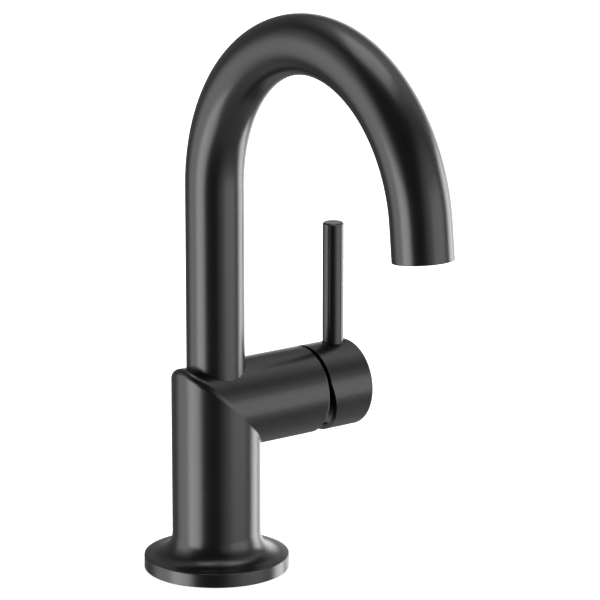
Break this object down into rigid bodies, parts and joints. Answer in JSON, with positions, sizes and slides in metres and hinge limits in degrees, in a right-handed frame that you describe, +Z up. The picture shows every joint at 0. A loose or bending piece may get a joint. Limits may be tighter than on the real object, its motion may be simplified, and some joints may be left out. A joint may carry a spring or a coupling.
{
  "type": "bathroom sink faucet",
  "caption": "Single-hole basin mixer: round column on a flared foot, tall swivelling gooseneck spout, and a side arm whose round hub carries a thin upright lever.",
  "frame": {"origin": "on the deck's surface, in the middle of the foot flange's underside", "axes": "+Z up along the column, -Y the way the spout points, +X along the handle's arm"},
  "size_m": [0.1022, 0.1817, 0.311],
  "materials": {
    "matte_black": "matte",
    "dark_trim": "satin",
    "brass": "satin",
    "copper": "satin",
    "stainless_steel": "satin",
    "black_rubber": "matte",
    "white_ceramic": "gloss",
    "grey_ceramic": "gloss",
    "white_plastic": "satin",
    "grey_plastic": "satin"
  },
  "bodies": {
    "faucet_body": {"body_shell": "matte_black", "base_gasket": "black_rubber", "inlet_block": "brass", "block_snap_ring": "stainless_steel", "hot_inlet_tube": "copper", "cold_inlet_tube": "copper", "mounting_stud": "stainless_steel", "deck_gasket": "black_rubber", "horseshoe_washer": "stainless_steel", "mounting_nut": "brass", "spout_stop_screw": "stainless_steel", "cartridge_base": "grey_plastic", "port_seals": "black_rubber", "disc_seals": "black_rubber", "fixed_disc": "white_ceramic", "cartridge_housing": "white_plastic", "bonnet_nut": "dark_trim", "bonnet_trim": "dark_trim"},
    "spout": {"spout_tube": "matte_black", "spout_tail": "brass", "spout_o_rings": "black_rubber", "spout_slip_ring": "white_plastic", "aerator_housing": "grey_plastic", "flow_straightener": "white_plastic", "aerator_screen": "stainless_steel", "aerator_washer": "black_rubber"},
    "cartridge_carrier": {"stem_carrier": "white_plastic", "carrier_seal": "black_rubber", "pivot_pin": "stainless_steel"},
    "control_disc": {"moving_disc": "grey_ceramic", "disc_carrier": "grey_plastic"},
    "handle": {"valve_stem": "brass", "handle_hub": "matte_black", "handle_rod": "matte_black", "hub_set_screw": "stainless_steel"}
  },
  "joints": [
    {"name": "spout_swivel", "type": "hinge", "parent": "faucet_body", "child": "spout", "pos_m": [0, 0, 0.0745], "axis": [0, 0, 1], "range_deg": [-60, 60]},
    {"name": "temperature_turn", "type": "hinge", "parent": "faucet_body", "child": "cartridge_carrier", "pos_m": [0.0405, 0, 0.071], "axis": [1, 0, 0], "range_deg": [-45, 45]},
    {"name": "flow_tilt", "type": "hinge", "parent": "cartridge_carrier", "child": "handle", "pos_m": [0.0405, 0, 0.071], "axis": [0, 1, 0], "range_deg": [0, 15]},
    {"name": "disc_slide", "type": "slide", "parent": "cartridge_carrier", "child": "control_disc", "axis": [0, 0, 1], "range_m": [0, 0.0024]}
  ],
  "couplings": [
    {"joint": "disc_slide", "follows": "flow_tilt", "m_per_rad": 0.0089}
  ]
}
